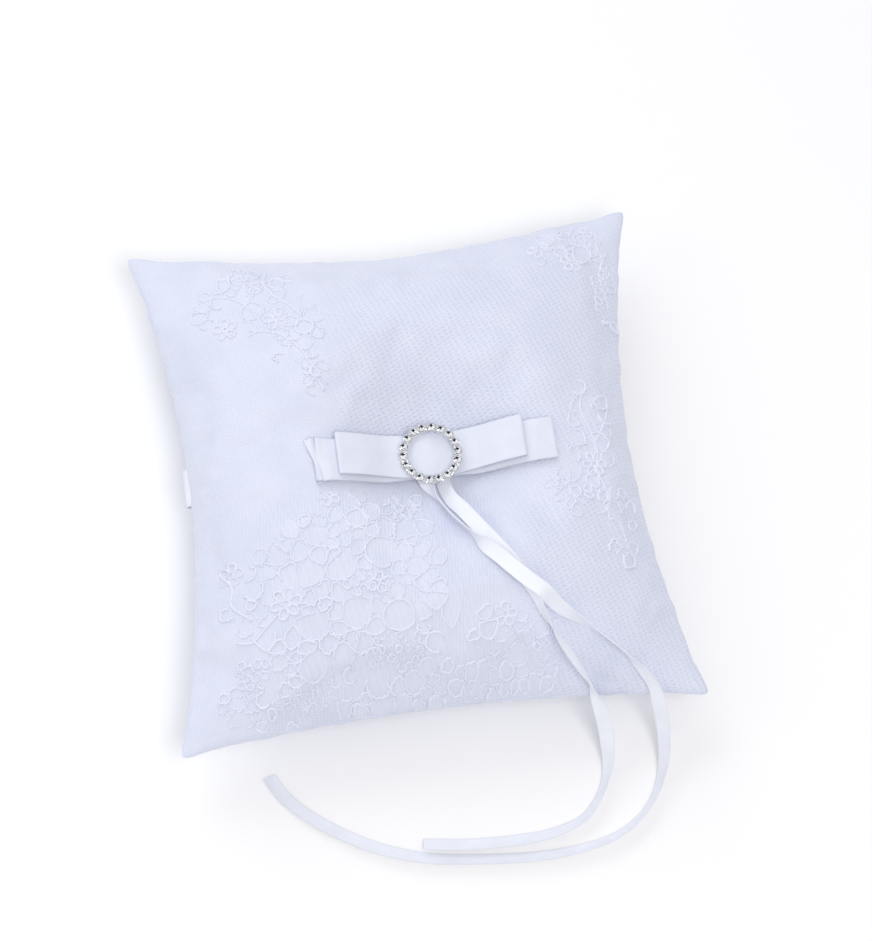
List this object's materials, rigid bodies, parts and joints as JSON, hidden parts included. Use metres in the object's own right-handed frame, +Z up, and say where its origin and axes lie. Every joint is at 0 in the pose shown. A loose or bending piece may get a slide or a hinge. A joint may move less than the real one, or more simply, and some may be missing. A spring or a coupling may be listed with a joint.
{
  "type": "ring bearer pillow",
  "caption": "Square white satin cushion with a lace overlay, a flat double bow in a rhinestone slide buckle, ribbon ties for the rings and a hand strap on the back.",
  "frame": {"origin": "bottom centre of the pillow as it lies on its back: the middle of its four corners in X and Y, the table in Z, with the tie ribbons left out", "axes": "+Z up, out of the lace front; +X to the right along the bow, +Y to the pillow's top edge; the tie ribbons hang over the edge at -Y"},
  "size_m": [0.2006, 0.2549, 0.0585],
  "materials": {
    "fill": "loose polyester fibre",
    "satin": "bridal satin, soft sheen",
    "lace": "corded lace on fine net, matt",
    "ribbon": "double faced satin ribbon, lustrous",
    "thread": "twisted sewing thread",
    "silver": "bright silver plate",
    "crystal": "foiled faceted rhinestone"
  },
  "bodies": {
    "root": {"cushion_fill": "fill", "front_panel": "satin", "lace_overlay": "lace", "back_panel": "satin", "hand_strap": "ribbon", "bow_lower_loop": "ribbon", "bow_upper_loop": "ribbon", "slide_buckle": "silver", "stone_01": "crystal", "stone_02": "crystal", "stone_03": "crystal", "stone_04": "crystal", "stone_05": "crystal", "stone_06": "crystal", "stone_07": "crystal", "stone_08": "crystal", "stone_09": "crystal", "stone_10": "crystal", "stone_11": "crystal", "stone_12": "crystal", "stone_13": "crystal", "stone_14": "crystal", "stone_15": "crystal", "stone_16": "crystal", "stone_17": "crystal", "stone_18": "crystal", "tuft_thread": "thread", "tie_ribbon_short": "ribbon", "tie_ribbon_long": "ribbon"}
  },
  "joints": []
}
